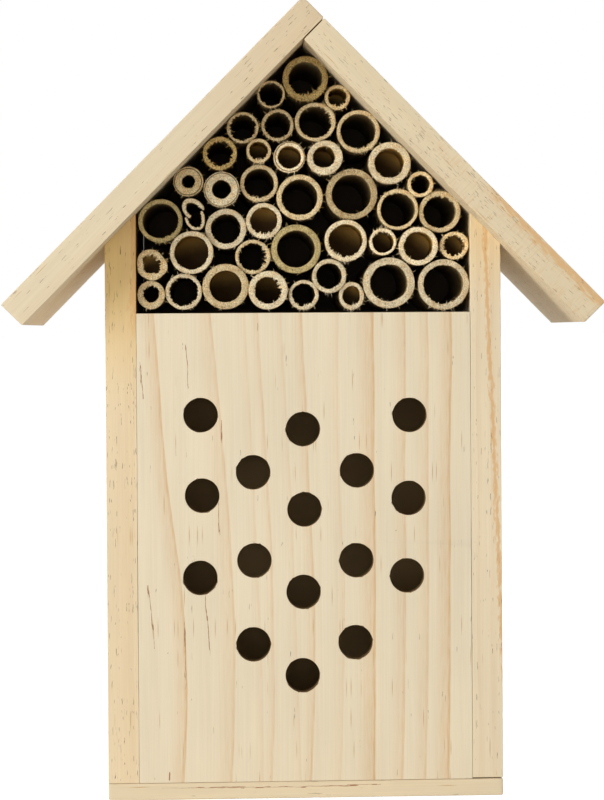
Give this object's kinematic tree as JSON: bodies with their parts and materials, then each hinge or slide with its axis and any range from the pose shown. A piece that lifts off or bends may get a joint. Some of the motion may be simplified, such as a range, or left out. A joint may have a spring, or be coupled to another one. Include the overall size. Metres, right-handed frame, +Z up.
{
  "type": "bee hotel",
  "caption": "Small pine bee hotel: a gable roof over a bundle of cut hollow canes, with a front panel drilled with nesting holes below and a keyhole slot behind to hang it.",
  "frame": {"origin": "bottom centre of the bounding box, on the plane that the base board stands on", "axes": "+Z up from the base to the ridge, -Y out of the drilled front, X across the front, with x = 0 in the middle"},
  "size_m": [0.1734, 0.09, 0.2317],
  "materials": {
    "pine": "planed and sanded, untreated",
    "cane_pale": "sawn end, natural skin",
    "cane_straw": "sawn end, natural skin",
    "cane_olive": "sawn end, natural skin",
    "cane_tan": "sawn end, natural skin",
    "cane_brown": "sawn end, natural skin",
    "nail": "zinc plated"
  },
  "bodies": {
    "root": {"base_board": "pine", "side_left": "pine", "side_right": "pine", "front_panel": "pine", "back_panel": "pine", "shelf": "pine", "roof_left": "pine", "roof_right": "pine", "base_nails": "nail", "side_nails": "nail", "roof_nails": "nail", "ridge_nails": "nail", "cane_01": "cane_straw", "cane_02": "cane_pale", "cane_03": "cane_straw", "cane_04": "cane_pale", "cane_05": "cane_pale", "cane_06": "cane_pale", "cane_07": "cane_pale", "cane_08": "cane_pale", "cane_09": "cane_pale", "cane_10": "cane_straw", "cane_11": "cane_pale", "cane_12": "cane_straw", "cane_13": "cane_olive", "cane_14": "cane_pale", "cane_15": "cane_pale", "cane_16": "cane_pale", "cane_17": "cane_straw", "cane_18": "cane_olive", "cane_19": "cane_pale", "cane_20": "cane_pale", "cane_21": "cane_pale", "cane_22": "cane_straw", "cane_23": "cane_straw", "cane_24": "cane_straw", "cane_25": "cane_tan", "cane_26": "cane_pale", "cane_27": "cane_straw", "cane_28": "cane_straw", "cane_29": "cane_straw", "cane_30": "cane_pale", "cane_31": "cane_pale", "cane_32": "cane_pale", "cane_33": "cane_brown", "cane_34": "cane_straw", "cane_35": "cane_straw", "cane_36": "cane_straw", "cane_37": "cane_straw", "cane_38": "cane_straw", "cane_39": "cane_tan", "cane_40": "cane_straw", "cane_41": "cane_brown"}
  },
  "joints": []
}
